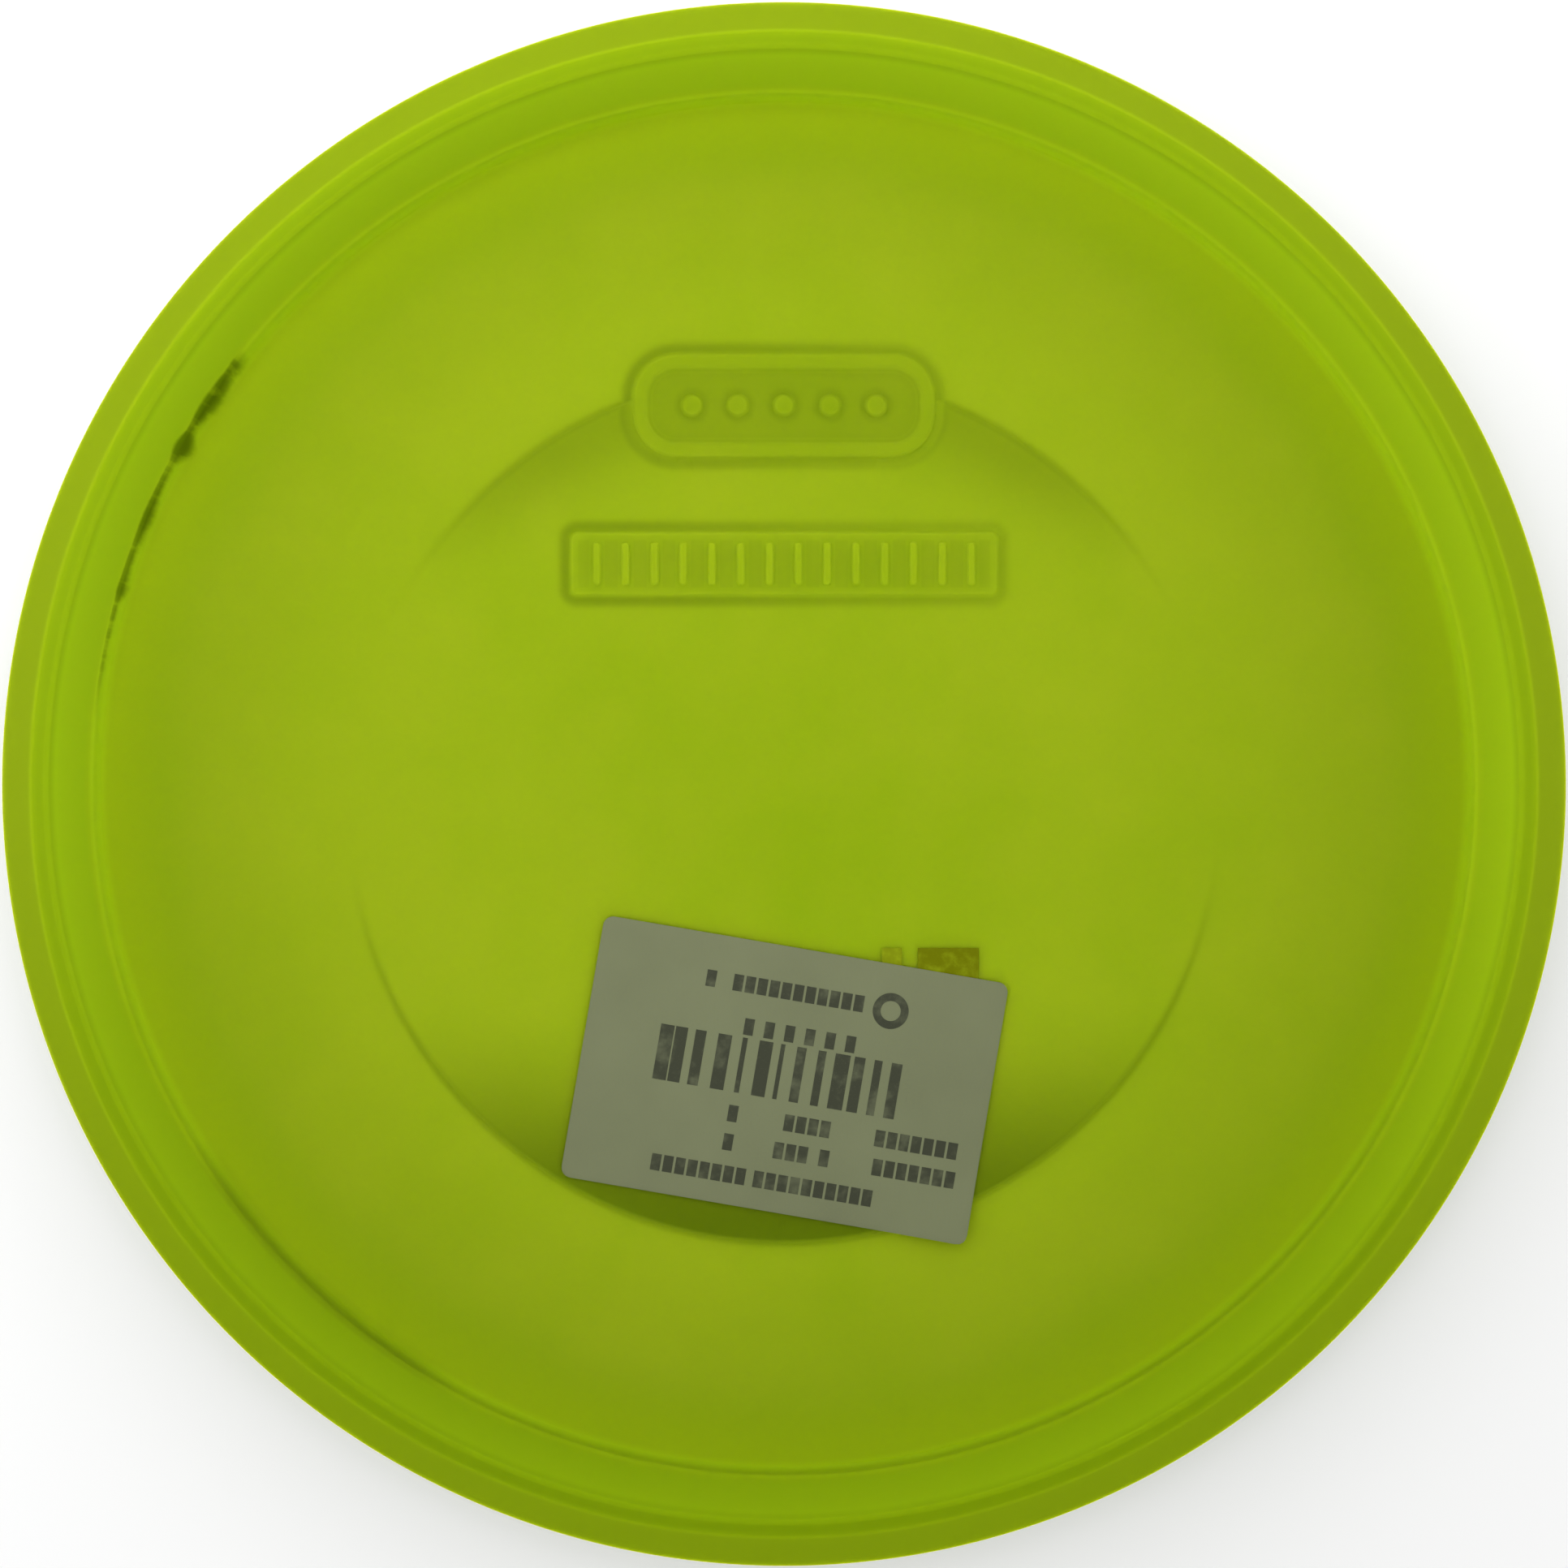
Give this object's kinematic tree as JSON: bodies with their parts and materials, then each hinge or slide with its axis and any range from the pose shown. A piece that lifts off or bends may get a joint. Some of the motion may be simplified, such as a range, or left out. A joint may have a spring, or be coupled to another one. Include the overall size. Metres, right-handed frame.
{
  "type": "flying disc",
  "caption": "Round one-piece moulded throwing disc with a thin flight plate, a beveled rim and a paper price label stuck inside, lying with its open side up.",
  "frame": {"origin": "centre of the flat outer face of the flight plate, on the spin axis, which is the face the disc lies on", "axes": "+Z along the spin axis, out of the open underside; +Y towards the round-ended badge moulded in the plate; +X to its right"},
  "size_m": [0.212, 0.212, 0.0185],
  "materials": {
    "disc_plastic": "translucent lime, soft sheen",
    "label_adhesive": "clear tacky film",
    "label_paper": "uncoated paper",
    "print_ink": "thermal print",
    "marker_ink": "faded ink"
  },
  "bodies": {
    "root": {"disc_body": "disc_plastic", "label_adhesive": "label_adhesive", "label_paper": "label_paper", "label_barcode_print": "print_ink", "label_header_print": "print_ink", "label_text_print": "print_ink", "ink_mark": "marker_ink"}
  },
  "joints": []
}
